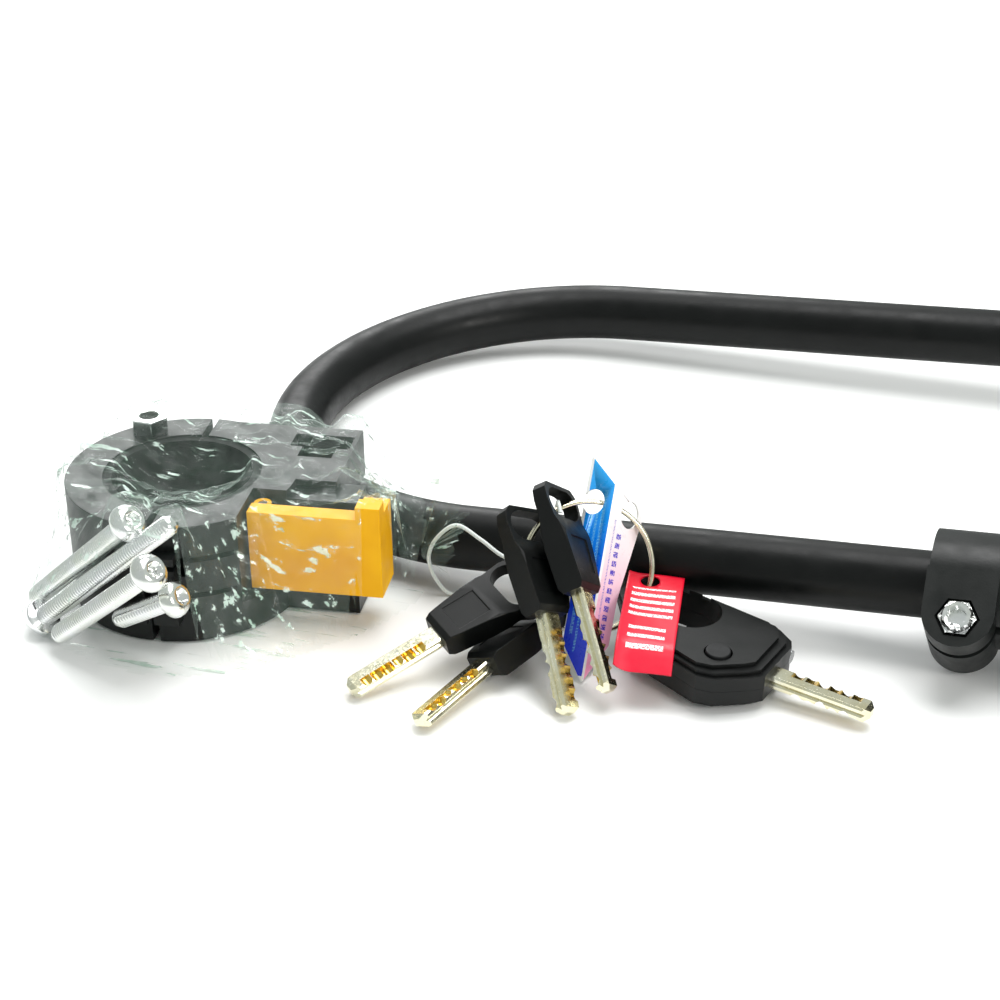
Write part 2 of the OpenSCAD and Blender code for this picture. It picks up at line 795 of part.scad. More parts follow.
module release_lever() {
  color("orange") in_bracket() difference() {
    union() {
      box([18.8, -13.8, 8], [49, -9.4, 27.4]);
      box([43, -13.8, 8], [49, -3, 27.4]);
      box([43.5, -13.8, 27.4], [49, -9.4, 30.4]);
      translate([lever_hinge[0], lever_hinge[1], 8]) cylinder(r = 2, h = 19);
      box([19, -9.6, 8], [23, -8.2, 27]);
    }
    translate([lever_hinge[0], lever_hinge[1], 0]) cylinder(r = 1.06, h = 40);
  }
}

module lever_pin() {
  color("silver") in_bracket() translate([lever_hinge[0], lever_hinge[1], 3.4])
    cylinder(r = 1, h = 23.4);
}

spring_at = [36, -8.2, 18];      // front end of the spring, clear of the lever as it is pressed
spring_r = 2.6;
spring_l = 2.5;

module lever_spring() {
  color("silver") in_bracket() translate(spring_at) rotate([-90, 0, 0]) difference() {
    cylinder(r = spring_r, h = spring_l);
    translate([0, 0, -1]) cylinder(r = spring_r - 0.6, h = 6);
  }
}

// ---------------------------------------------------------------- loose fasteners
// Each bolt: middle of its head's underside, and the tip of its thread
bolt_ends = [
  [[-59.4, -119.5, 33.5], [-91.0, -108.6, 3.4]],
  [[-84.2, -116.6, 4.4], [-47.2, -121.6, 37]],
  [[-49.5, -130.5, 29], [-78.5, -121.6, 3.2]],
  [[-49.1, -121.7, 17.8], [-63.9, -120.1, 9.2]]
];
m5_r = 2.35;
nut_places = [[-77.5, -71.5, 30.1]];

// A bolt along +Z with a domed head below z = 0 and its thread's tip at z = l
module bolt(l) {
  cylinder(r = m5_r, h = l - 0.8);
  translate([0, 0, l - 0.8]) cylinder(r1 = m5_r, r2 = m5_r - 0.7, h = 0.8, $fn = 32);
  intersection() {
    translate([0, 0, -3]) cylinder(r = 4.3, h = 3);
    translate([0, 0, 1.4]) sphere(r = 4.6);
  }
}

module along(a, b) {
  v = b - a;
  translate(a) rotate([0, acos(v[2] / norm(v)), atan2(v[1], v[0])]) children();
}

module loose_bolts() {
  color("silver") translate(place) for (e = bolt_ends) along(e[0], e[1]) bolt(norm(e[1] - e[0]));
}

module loose_nuts() {
  color("silver") translate(place) for (p = nut_places)
    translate(p) difference() {
      cylinder(r = 4.6, h = 4, $fn = 6);
      translate([0, 0, -1]) cylinder(r = 2.2, h = 6);
    }
}

// ---------------------------------------------------------------- bag
// Lower film of the bag, flat on the table under the bracket
bag_outline = [[-94, -108], [-88, -118], [-60, -127], [-38, -122], [-16, -100], [-6, -80],
               [-20, -76.5], [-38, -66], [-55, -50.5], [-72, -28], [-86, -30], [-92, -60]];

module bag_film() {
  color([0.85, 0.9, 0.88, 0.4]) difference() {
    translate(place) linear_extrude(height = 0.4) polygon(bag_outline);
    translate(place) translate([0, 0, -1]) cylinder(r = leg_y + coat_r + 0.6, h = 3);
  }
}

// ---------------------------------------------------------------- tie string
// Route of the string: from the key ring round the bag's neck, then down to the table
string_d = 0.9;
string_route = [
  [26.4, -83, 30.6], [25.6, -81.6, 32], [24.7, -79.8, 30.4], [23.2, -78.8, 20.6], [22.2, -78, 16.3],
  [18.6, -76.8, 12.8], [11.1, -76, 13.1], [5.3, -75.4, 16.3], [-0.5, -75.2, 19], [-5.3, -75.2, 15],
  [-7.4, -75.2, 10.4], [-7.2, -75.2, 7.1], [-5.8, -75.2, 3.8], [-3, -75.2, 0.9], [2.3, -75.3, 0.5],
  [6, -76, 0.5], [9.6, -77.2, 0.5], [12.8, -79, 0.5]
];

function unit(v) = v / norm(v);

// Catmull-Rom point between b and c at t
function curve_at(a, b, c, d, t) =
  0.5 * (2 * b + (c - a) * t + (2 * a - 5 * b + 4 * c - d) * t * t
  + (3 * b - a - 3 * c + d) * t * t * t);

function smooth(p, k) = [
  for (i = [0 : len(p) - 2], j = [0 : k - 1])
    curve_at(p[max(i - 1, 0)], p[i], p[i + 1], p[min(i + 2, len(p) - 1)], j / k),
  p[len(p) - 1]
];

// A tube of n sides swept along the points p
module tube_along(p, r, n) {
  m = len(p);
  dirs = [for (i = [0 : m - 1]) unit(p[min(i + 1, m - 1)] - p[max(i - 1, 0)])];
  side = [for (d = dirs) unit(cross(d, abs(d[2]) > 0.9 ? [1, 0, 0] : [0, 0, 1]))];
  rings = [for (i = [0 : m - 1], j = [0 : n - 1])
    p[i] + r * (cos(360 * j / n) * side[i] + sin(360 * j / n) * cross(side[i], dirs[i]))];
  faces = concat(
    [[for (j = [0 : n - 1]) j]],
    [for (i = [0 : m - 2], j = [0 : n - 1]) let (k = (j + 1) % n)
      [i * n + j, (i + 1) * n + j, (i + 1) * n + k, i * n + k]],
    [[for (j = [n - 1 : -1 : 0]) (m - 1) * n + j]]
  );
  polyhedron(points = rings, faces = faces);
}

module tie_string() {
  color("white") translate(place) tube_along(smooth(string_route, 4), string_d / 2, 8);
}

shackle_rod();
shackle_coating();
clamp_strap();
clamp_liner();
clamp_tongue();
clamp_bolts();
clamp_nuts();
crossbar_tube();
crossbar_cover();
end_cap_near();
end_cap_far();
cap_pins();
leg_bushing_near();
leg_bushing_far();
bolt_guide_near();
bolt_guide_far();
lock_housing();
housing_pin();
lock_bezel();
dust_cover();
dust_cover_pin();
lock_plug();
guard_disc();
lock_discs();
disc_spacers();
sidebar();
drive_cam();
lock_bolt_near();
lock_bolt_far();
key_ring();
bracket_body();
bracket_strap();
bracket_liner();
release_lever();
lever_pin();
lever_spring();
loose_bolts();
loose_nuts();
bag_film();
tie_string();
key_1_blade();
key_1_head();
key_2_blade();
key_2_head();
key_3_blade();
key_3_head();
key_4_blade();
key_4_head();
light_key_blade();
light_key_top();
light_key_bottom();
light_key_button();
light_key_lens();
light_key_battery();
code_card();
care_tag();
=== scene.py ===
"""U lock with its keys, card, tag and bagged frame bracket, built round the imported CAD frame."""
import json
import math

import bmesh
import bpy
import numpy as np
from mathutils import Matrix, Vector, noise
from mathutils.bvhtree import BVHTree

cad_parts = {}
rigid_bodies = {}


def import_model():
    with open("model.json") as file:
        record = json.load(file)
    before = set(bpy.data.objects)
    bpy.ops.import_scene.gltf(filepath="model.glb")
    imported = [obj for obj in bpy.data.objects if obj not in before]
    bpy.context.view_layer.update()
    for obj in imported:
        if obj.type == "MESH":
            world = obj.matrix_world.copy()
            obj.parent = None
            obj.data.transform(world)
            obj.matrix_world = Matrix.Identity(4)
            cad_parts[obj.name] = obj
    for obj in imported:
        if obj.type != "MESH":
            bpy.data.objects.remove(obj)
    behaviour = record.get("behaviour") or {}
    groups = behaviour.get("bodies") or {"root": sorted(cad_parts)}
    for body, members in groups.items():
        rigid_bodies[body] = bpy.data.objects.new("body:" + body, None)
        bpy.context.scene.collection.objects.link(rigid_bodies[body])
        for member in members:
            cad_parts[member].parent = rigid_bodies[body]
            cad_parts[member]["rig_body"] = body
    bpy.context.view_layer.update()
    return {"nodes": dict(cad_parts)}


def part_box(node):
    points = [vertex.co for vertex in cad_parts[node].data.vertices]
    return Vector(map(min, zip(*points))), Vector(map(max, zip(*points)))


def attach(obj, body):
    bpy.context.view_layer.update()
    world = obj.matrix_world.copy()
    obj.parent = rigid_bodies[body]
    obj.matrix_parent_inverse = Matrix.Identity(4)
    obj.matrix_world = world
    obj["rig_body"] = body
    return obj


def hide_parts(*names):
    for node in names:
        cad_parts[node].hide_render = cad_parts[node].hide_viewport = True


MM = 0.001
WELD = 2e-6                         # vertices closer than this are one, in metres
PLACE = Vector((-60.1, 19.9, 0.0))  # the lock's own origin in the row frame, mm

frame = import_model()
nodes = frame["nodes"]
body_of_node = {n: o["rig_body"] for n, o in nodes.items()}


def row(p):
    """A point given in mm about the bend's centre, in the row frame in metres."""
    return (Vector(p) + PLACE) * MM


# ------------------------------------------------------------------ camera
def make_camera():
    cam = bpy.data.objects.new("camera", bpy.data.cameras.new("camera"))
    bpy.context.scene.collection.objects.link(cam)
    back = -Vector((-0.28490, 0.83039, -0.47884)).normalized()
    right = Vector((0.94866, 0.31586, -0.01667)).normalized()
    up = back.cross(right).normalized()
    right = up.cross(back).normalized()
    turn = Matrix((right, up, back)).transposed().to_4x4()
    cam.matrix_world = Matrix.Translation((0.09566, -0.48025, 0.27216)) @ turn
    cam.data.sensor_width = 36
    cam.data.lens = 82.76
    cam.data.clip_start = 0.01
    cam.data.clip_end = 20
    bpy.context.scene.camera = cam


make_camera()


# ------------------------------------------------------------------ small helpers
def link(obj):
    bpy.context.scene.collection.objects.link(obj)
    return obj


def mesh_object(name, verts, faces, smooth=True, uvs=None):
    mesh = bpy.data.meshes.new(name)
    mesh.from_pydata([tuple(v) for v in verts], [], faces)
    mesh.update()
    if smooth:
        mesh.polygons.foreach_set("use_smooth", [True] * len(mesh.polygons))
    if uvs is not None:
        layer = mesh.uv_layers.new(name="UVMap")
        for loop in mesh.loops:
            layer.data[loop.index].uv = uvs[loop.vertex_index]
    return link(bpy.data.objects.new(name, mesh))


def curve_object(name, points, radius, cyclic=False, sides=3):
    data = bpy.data.curves.new(name, "CURVE")
    data.dimensions = "3D"
    spline = data.splines.new("POLY")
    spline.points.add(len(points) - 1)
    for p, q in zip(spline.points, points):
        p.co = (*q, 1)
    spline.use_cyclic_u = cyclic
    data.bevel_depth = radius
    data.bevel_resolution = sides
    data.use_fill_caps = not cyclic
    return link(bpy.data.objects.new(name, data))


def catmull(points, k):
    """A smooth line through the points, k steps to a span."""
    out = []
    n = len(points)
    for i in range(n - 1):
        a, b = points[max(i - 1, 0)], points[i]
        c, d = points[i + 1], points[min(i + 2, n - 1)]
        for j in range(k):
            t = j / k
            out.append(0.5 * (2 * b + (c - a) * t + (2 * a - 5 * b + 4 * c - d) * t * t
                              + (3 * b - a - 3 * c + d) * t ** 3))
    out.append(points[-1])
    return out


# ------------------------------------------------------------------ materials
class Shade:
    """A node material with one Principled shader and a few short ways to drive it."""

    def __init__(self, name, colour, rough, metal=0.0):
        self.mat = bpy.data.materials.new(name)
        self.mat.use_nodes = True
        self.tree = self.mat.node_tree
        self.bsdf = self.tree.nodes["Principled BSDF"]
        self.bsdf.inputs["Base Color"].default_value = (*colour, 1)
        self.bsdf.inputs["Roughness"].default_value = rough
        self.bsdf.inputs["Metallic"].default_value = metal
        self.bsdf.inputs["IOR"].default_value = 1.5
        self.bump = None
        self.coords = self.tree.nodes.new("ShaderNodeTexCoord")

    def node(self, kind):
        return self.tree.nodes.new(kind)

    def join(self, a, b):
        self.tree.links.new(a, b)

    def noise(self, scale, detail=4.0, rough=0.6, stretch=(1, 1, 1), source="Object"):
        turn = self.node("ShaderNodeMapping")
        turn.inputs["Scale"].default_value = stretch
        self.join(self.coords.outputs[source], turn.inputs["Vector"])
        made = self.node("ShaderNodeTexNoise")
        made.inputs["Scale"].default_value = scale
        made.inputs["Detail"].default_value = detail
        made.inputs["Roughness"].default_value = rough
        self.join(turn.outputs["Vector"], made.inputs["Vector"])
        return made.outputs["Fac"]

    def ramp(self, source, stops):
        made = self.node("ShaderNodeValToRGB")
        ramp = made.color_ramp
        while len(ramp.elements) < len(stops):
            ramp.elements.new(0.5)
        for e, (at, colour) in zip(ramp.elements, stops):
            e.position = at
            e.color = (*colour, 1)
        self.join(source, made.inputs["Fac"])
        return made.outputs["Color"]

    def grey(self, source, low, high, at=(0.3, 0.7)):
        return self.ramp(source, [(at[0], (low,) * 3), (at[1], (high,) * 3)])

    def colour(self, source):
        self.join(source, self.bsdf.inputs["Base Color"])

    def rough(self, source):
        self.join(source, self.bsdf.inputs["Roughness"])

    def add_bump(self, height, strength, distance):
        made = self.node("ShaderNodeBump")
        made.inputs["Strength"].default_value = strength
        made.inputs["Distance"].default_value = distance
        self.join(height, made.inputs["Height"])
        if self.bump is not None:
            self.join(self.bump, made.inputs["Normal"])
        self.bump = made.outputs["Normal"]
        self.join(self.bump, self.bsdf.inputs["Normal"])


def plastic(name, colour, rough, grain, depth, rubbed=False, spec=0.3):
    """Moulded plastic or vinyl: grain is the texture's scale, depth its bump in metres."""
    s = Shade(name, colour, rough)
    s.bsdf.inputs["Specular IOR Level"].default_value = spec
    patches = s.noise(38, 3)
    dark = tuple(c * 0.75 for c in colour)
    light = tuple(min(c * 1.3 + 0.0006, 1) for c in colour)
    s.colour(s.ramp(patches, [(0.3, dark), (0.72, light)]))
    s.rough(s.grey(s.noise(160, 5), max(rough - 0.09, 0.05), min(rough + 0.1, 1)))
    s.add_bump(s.noise(grain, 2), 0.28, depth)
    if rubbed:
        s.add_bump(s.noise(420), 0.16, depth * 1.6)
    return s.mat


def metal(name, colour, rough, scale, tarnish=None, brushed=(1, 1, 1)):
    """Metal with patches of tarnish and fine scratches, which brushed stretches."""
    s = Shade(name, colour, rough, 1.0)
    patches = s.noise(120, 4)
    dull = tarnish or tuple(c * 0.82 for c in colour)
    s.colour(s.ramp(patches, [(0.34, dull), (0.62, colour)]))
    s.rough(s.grey(s.noise(scale, 5, 0.65, brushed), max(rough - 0.08, 0.04), rough + 0.13))
    s.add_bump(s.noise(scale * 1.3, 3, 0.6, brushed), 0.2, 0.00003)
    s.add_bump(s.noise(260, 3), 0.09, 0.00008)
    return s.mat


VINYL = plastic("black_vinyl", (0.0022, 0.0027, 0.0026), 0.4, 1500, 0.00005, True, spec=0.2)
BAR_VINYL = plastic("crossbar_vinyl", (0.0022, 0.0026, 0.0026), 0.36, 1300, 0.00004, True,
                    spec=0.24)
CAP = plastic("cap_plastic", (0.003, 0.0034, 0.0034), 0.46, 2600, 0.00005, spec=0.26)
NYLON = plastic("black_nylon", (0.0034, 0.0046, 0.0042), 0.4, 2000, 0.00006, spec=0.32)
KEY_BLACK = plastic("key_plastic", (0.0022, 0.0027, 0.0026), 0.38, 2800, 0.00004, spec=0.26)
BUTTON = plastic("button_rubber", (0.006, 0.0065, 0.007), 0.62, 3600, 0.00007, spec=0.3)
BUSH = plastic("acetal", (0.008, 0.008, 0.0085), 0.46, 2200, 0.00003)
RUBBER = plastic("rubber", (0.004, 0.004, 0.004), 0.74, 3000, 0.0001, spec=0.3)
ORANGE = plastic("orange_plastic", (1.0, 0.42, 0.0), 0.42, 1500, 0.00003, spec=0.2)
STEEL = metal("steel", (0.55, 0.56, 0.57), 0.3, 500, brushed=(1, 14, 14))
ZINC = metal("bright_zinc", (0.86, 0.87, 0.88), 0.17, 700, (0.8, 0.82, 0.76))
NICKEL = metal("nickel", (0.83, 0.8, 0.68), 0.15, 900, (0.72, 0.66, 0.45))
BRASS = metal("brass", (0.8, 0.6, 0.24), 0.27, 900, (0.7, 0.5, 0.2))
DARK_METAL = metal("grey_bezel", (0.24, 0.25, 0.26), 0.38, 800)
SINTER = metal("sintered_steel", (0.3, 0.3, 0.31), 0.5, 1600)
BLADE = metal("key_blade", (0.88, 0.86, 0.7), 0.17, 1500, (0.8, 0.74, 0.5))
GILT = metal("key_cuts", (0.86, 0.62, 0.16), 0.2, 1700, (0.7, 0.45, 0.08))


def lens_material():
    s = Shade("clear_lens", (0.9, 0.93, 0.95), 0.08)
    s.bsdf.inputs["Transmission Weight"].default_value = 0.85
    s.rough(s.grey(s.noise(900, 3), 0.05, 0.14))
    return s.mat


LENS = lens_material()


def string_material():
    s = Shade("white_cord", (0.86, 0.9, 0.87), 0.55)
    s.bsdf.inputs["Sheen Weight"].default_value = 0.3
    wave = s.node("ShaderNodeTexWave")
    wave.inputs["Scale"].default_value = 900
    wave.inputs["Distortion"].default_value = 1.5
    s.join(s.coords.outputs["Object"], wave.inputs["Vector"])
    s.colour(s.ramp(wave.outputs["Fac"], [(0.2, (0.72, 0.8, 0.76)), (0.8, (0.93, 0.95, 0.93))]))
    s.rough(s.grey(s.noise(1800, 3), 0.45, 0.65))
    s.add_bump(wave.outputs["Fac"], 0.35, 0.00006)
    return s.mat


STRING = string_material()


PRINT_UNIT = 0.1               # one unit of a printed surface's layout, in metres
MARGIN_WHITE = (0.92, 0.92, 0.92)


def printed(name, ground, bars, bar_colour, border=None, rough=0.3, coat=0.35):
    """Card stock with generic broken lines, and a white margin outside border (u0, u1, v0, v1).

    ground: colour stops along V. bars: blocks of lines (u0, u1, v0, v1, pitch, share of ink).
    """
    s = Shade(name, (1, 1, 1), rough)
    s.bsdf.inputs["Coat Weight"].default_value = coat
    s.bsdf.inputs["Coat Roughness"].default_value = 0.16
    split = s.node("ShaderNodeSeparateXYZ")
    s.join(s.coords.outputs["UV"], split.inputs[0])
    u, v = split.outputs["X"], split.outputs["Y"]

    def math_node(kind, a, b=None):
        made = s.node("ShaderNodeMath")
        made.operation = kind
        for slot, value in enumerate((a, b)):
            if value is None:
                continue
            if isinstance(value, (int, float)):
                made.inputs[slot].default_value = value
            else:
                s.join(value, made.inputs[slot])
        return made.outputs[0]

    def window(x, low, high):
        return math_node("MULTIPLY", math_node("GREATER_THAN", x, low),
                         math_node("LESS_THAN", x, high))

    def mix(fac, a, b):
        made = s.node("ShaderNodeMix")
        made.data_type = "RGBA"
        s.join(fac, made.inputs["Factor"])
        for slot, value in ((6, a), (7, b)):
            if isinstance(value, tuple):
                made.inputs[slot].default_value = (*value, 1)
            else:
                s.join(value, made.inputs[slot])
        return made.outputs[2]

    colour = s.ramp(v, ground)
    broken = s.noise(300, 2, 0.6, (1, 1, 1), "UV")
    for u0, u1, v0, v1, pitch, ink in bars:
        area = math_node("MULTIPLY", window(u, u0, u1), window(v, v0, v1))
        line = math_node("LESS_THAN", math_node("FRACT", math_node("DIVIDE", v, pitch)), ink)
        gaps = math_node("GREATER_THAN", broken, 0.44)
        mask = math_node("MULTIPLY", math_node("MULTIPLY", area, line), gaps)
        colour = mix(mask, colour, bar_colour)
    if border:
        u0, u1, v0, v1 = border
        inside = math_node("MULTIPLY", window(u, u0, u1), window(v, v0, v1))
        colour = mix(inside, MARGIN_WHITE, colour)
    s.colour(colour)
    s.rough(s.grey(s.noise(700, 3, 0.6, (1, 1, 1), "Object"), rough - 0.06, rough + 0.08))
    s.add_bump(s.noise(90, 2), 0.12, 0.0002)
    return s.mat


def film_material(name, clear, milky_edge_and_highlight):
    """Clear film: clear is its opacity seen face on; the last argument is that of its edges and of
    its streaks, which are painted highlights.
    """
    s = Shade(name, (0.86, 0.97, 0.9), 0.12)
    s.bsdf.inputs["Specular IOR Level"].default_value = 1.0
    fine = s.noise(260, 5, 0.62)
    broad = s.noise(70, 3, 0.5, (1, 1.6, 1))
    long_ = s.noise(190, 4, 0.6, (0.3, 2.6, 1.6))
    weight = s.node("ShaderNodeLayerWeight")
    weight.inputs["Blend"].default_value = 0.3
    edge = s.grey(weight.outputs["Facing"], 0.0, 1.0, (0.3, 1.0))
    # painted highlights: long stretched streaks where the film turns whiter and more opaque
    painted_highlight_streaks = s.grey(long_, 0.0, 1.0, (0.56, 0.64))
    most = s.node("ShaderNodeMath")
    most.operation = "MAXIMUM"
    s.join(edge, most.inputs[0])
    s.join(painted_highlight_streaks, most.inputs[1])
    alpha = s.ramp(most.outputs[0], [(0.0, (clear,) * 3), (0.55, (clear * 2.4,) * 3),
                                     (1.0, (milky_edge_and_highlight,) * 3)])
    s.join(alpha, s.bsdf.inputs["Alpha"])
    s.colour(s.ramp(fine, [(0.3, (0.4, 0.62, 0.48)), (0.6, (0.85, 1.0, 0.92))]))
    s.rough(s.grey(fine, 0.05, 0.13))
    s.add_bump(broad, 0.7, 0.0014)
    s.add_bump(fine, 0.4, 0.0003)
    return s.mat


FILM = film_material("bag_film_clear", 0.06, 0.7)

MATERIAL_OF = {
    "shackle_rod": STEEL, "shackle_coating": VINYL, "clamp_strap": NYLON, "clamp_liner": RUBBER,
    "clamp_tongue": NYLON, "clamp_bolts": ZINC, "clamp_nuts": ZINC,
    "crossbar_tube": STEEL, "crossbar_cover": BAR_VINYL, "end_cap_near": CAP, "end_cap_far": CAP,
    "cap_pins": STEEL, "leg_bushing_near": BUSH, "leg_bushing_far": BUSH,
    "bolt_guide_near": SINTER, "bolt_guide_far": SINTER, "lock_housing": BRASS,
    "housing_pin": STEEL, "lock_bezel": DARK_METAL, "dust_cover": CAP, "dust_cover_pin": ZINC,
    "lock_plug": BRASS, "guard_disc": STEEL, "lock_discs": BRASS, "disc_spacers": STEEL,
    "sidebar": STEEL, "drive_cam": SINTER, "lock_bolt_near": STEEL, "lock_bolt_far": STEEL,
    "key_ring": NICKEL, "bracket_body": NYLON, "bracket_strap": NYLON, "bracket_liner": RUBBER,
    "release_lever": ORANGE, "lever_pin": STEEL, "lever_spring": STEEL, "loose_bolts": ZINC,
    "loose_nuts": ZINC, "bag_film": FILM, "tie_string": STRING,
    "light_key_blade": BLADE, "light_key_top": KEY_BLACK, "light_key_bottom": KEY_BLACK,
    "light_key_button": BUTTON, "light_key_lens": LENS, "light_key_battery": STEEL,
}
for i in range(1, 5):
    MATERIAL_OF[f"key_{i}_blade"] = BLADE
    MATERIAL_OF[f"key_{i}_head"] = KEY_BLACK
for n, m in MATERIAL_OF.items():
    nodes[n].data.materials.clear()
    nodes[n].data.materials.append(m)


# ------------------------------------------------------------------ frames of the keys
def turn(rx, ry, rz):
    return (Matrix.Rotation(math.radians(rz), 4, "Z") @ Matrix.Rotation(math.radians(ry), 4, "Y")
            @ Matrix.Rotation(math.radians(rx), 4, "X"))


BLADE_LENGTH = 0.0225


def key_frame(tip, roll, dip, heading):
    """Origin at a key's shoulder, +X along its blade, +Z across its cuts."""
    return (Matrix.Translation(row(tip)) @ turn(roll, dip, heading)
            @ Matrix.Translation((-BLADE_LENGTH, 0, 0)))


LIGHT = key_frame((99.2, -100.1, 3.7), 0, 4, -13)
KEY_FRAMES = {
    "key_1_blade": key_frame((-8.8, -121.8, 2.35), -12.3, 16.6, -131.6),
    "key_2_blade": key_frame((9.5, -129.4, 2.5), 23.5, 5.9, -109.5),
    "key_3_blade": key_frame((38.2, -115.8, 1.6), -33.2, 37.4, -58.2),
    "key_4_blade": key_frame((45.1, -110, 4.8), -49.4, 39.6, -54.2),
    "light_key_blade": LIGHT,
}


def gild_cuts(bm, frame_):
    """The faces of a blade's cuts take the second material; sizes in mm in the key's frame."""
    cut_start, cut_end, half_height, wall_half = 0.3, 20.7, 1.53, 0.6
    back = frame_.inverted()
    turn_back = back.to_3x3()
    bm.normal_update()
    for face in bm.faces:
        c = back @ face.calc_center_median() / MM
        n = turn_back @ face.normal
        in_cut = abs(n.y) < 0.25 and abs(c.z) < half_height and cut_start < c.x < cut_end
        on_wall = abs(n.y) > 0.9 and abs(c.y) < wall_half
        face.material_index = 1 if in_cut or on_wall else 0


# ------------------------------------------------------------------ eased CAD pieces
def eased(node, width):
    """A copy of a CAD node with its edges eased, standing for the node."""
    mesh = nodes[node].data.copy()
    bm = bmesh.new()
    bm.from_mesh(mesh)
    bmesh.ops.remove_doubles(bm, verts=bm.verts, dist=WELD)
    bmesh.ops.dissolve_limit(bm, angle_limit=math.radians(1.0), verts=bm.verts, edges=bm.edges)
    if node in KEY_FRAMES:
        mesh.materials.append(GILT)
        gild_cuts(bm, KEY_FRAMES[node])
    bm.to_mesh(mesh)
    bm.free()
    obj = link(bpy.data.objects.new(f"{node}_eased", mesh))
    obj.data.polygons.foreach_set("use_smooth", [True] * len(obj.data.polygons))
    bevel = obj.modifiers.new("ease", "BEVEL")
    bevel.width = width
    bevel.segments = 3
    bevel.limit_method = "ANGLE"
    bevel.angle_limit = math.radians(28)
    bevel.harden_normals = False
    bevel.use_clamp_overlap = True
    weigh = obj.modifiers.new("weigh", "WEIGHTED_NORMAL")
    weigh.keep_sharp = True
    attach(obj, body_of_node[node])
    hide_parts(node)


# How wide each piece's edges are eased, in metres
EASE = {
    "clamp_strap": 0.0007, "clamp_tongue": 0.0003, "clamp_bolts": 0.0002, "clamp_nuts": 0.0002,
    "end_cap_near": 0.0004, "end_cap_far": 0.0004, "leg_bushing_near": 0.0003,
    "leg_bushing_far": 0.0003, "lock_bezel": 0.0003, "dust_cover": 0.0002, "shackle_rod": 0.0003,
    "bracket_body": 0.0007, "bracket_strap": 0.0007, "release_lever": 0.0007,
    "loose_nuts": 0.0003,
    "light_key_top": 0.0006, "light_key_bottom": 0.0006, "light_key_button": 0.0003,
    "light_key_blade": 0.00014,
}
for i in range(1, 5):
    EASE[f"key_{i}_head"] = 0.00045
    EASE[f"key_{i}_blade"] = 0.00014
for n, w in EASE.items():
    eased(n, w)


# ------------------------------------------------------------------ split ring: two turns of wire
def split_ring():
    centre = row((32.7, -83, 17.9))
    frame_ = Matrix.Translation(centre) @ turn(0, 0, 30.4) @ turn(90 - 23.8, 0, 0)
    points = []
    radius, wire, turns, steps = 0.0145, 0.00053, 1.93, 260
    for i in range(steps + 1):
        t = i / steps
        a = math.radians(200) + 2 * math.pi * turns * t
        # the second turn lies on the first and steps across over a short stretch
        across = -wire + 2 * wire * min(max((t - 0.44) / 0.1, 0), 1)
        points.append(frame_ @ Vector((radius * math.cos(a), radius * math.sin(a), across)))
    obj = curve_object("split_ring_wire", points, wire, sides=4)
    obj.data.materials.append(NICKEL)
    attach(obj, "accessories")
    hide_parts("key_ring")


split_ring()


# ------------------------------------------------------------------ lever spring: a real coil
def coil_spring():
    low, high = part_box("lever_spring")
    centre = (low + high) / 2
    length, radius, wire, turns, steps = 0.0021, 0.0023, 0.0002, 3.2, 120
    lean = math.radians(8)
    axis = Vector((-math.sin(lean), math.cos(lean), 0))
    up = Vector((0, 0, 1))
    side = axis.cross(up).normalized()
    points = []
    for i in range(steps + 1):
        t = i / steps
        a = 2 * math.pi * turns * t
        points.append(centre + axis * (t - 0.5) * length
                      + (side * math.cos(a) + up * math.sin(a)) * radius)
    obj = curve_object("lever_spring_coil", points, wire, sides=2)
    obj.data.materials.append(STEEL)
    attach(obj, "accessories")
    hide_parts("lever_spring")


coil_spring()


# ------------------------------------------------------------------ loose bolts with their threads
# Where each bolt's head meets its shank, and its tip, in mm
BOLT_ENDS = [((-59.4, -119.5, 33.5), (-91.0, -108.6, 3.4)),
             ((-84.2, -116.6, 4.4), (-47.2, -121.6, 37)),
             ((-49.5, -130.5, 29), (-78.5, -121.6, 3.2)),
             ((-49.1, -121.7, 17.8), (-63.9, -120.1, 9.2))]
# A bolt's domed head with its hexagon socket: radius, height and outline of each ring, in mm
BOLT_HEAD = [(0.02, -1.1, "round"), (1.455, -1.1, "hex"), (1.455, -3, "hex"), (2.3, -3.05, "round"),
             (3.3, -2.6, "round"), (3.95, -1.7, "round"), (4.25, -0.7, "round"),
             (4.25, -0.15, "round"), (4.1, 0, "round"), (2.3, 0, "round")]
THREAD_PITCH, THREAD_OUTER, THREAD_ROOT = 0.8, 2.34, 2.0


def hexagon(angle, flat):
    return flat / math.cos((angle % (math.pi / 3)) - math.pi / 6)


def thread_radius(z, share, length):
    """The thread's radius at height z, share of a turn round a bolt whose point tapers off."""
    ridge = 1 - abs(2 * ((z / THREAD_PITCH - share) % 1) - 1)
    taper = min(1, max(0, (length - 0.35 - z) / 1.2))
    return (THREAD_ROOT + (THREAD_OUTER - THREAD_ROOT) * min(1, 1.35 * ridge) * taper
            - 0.3 * (1 - taper))


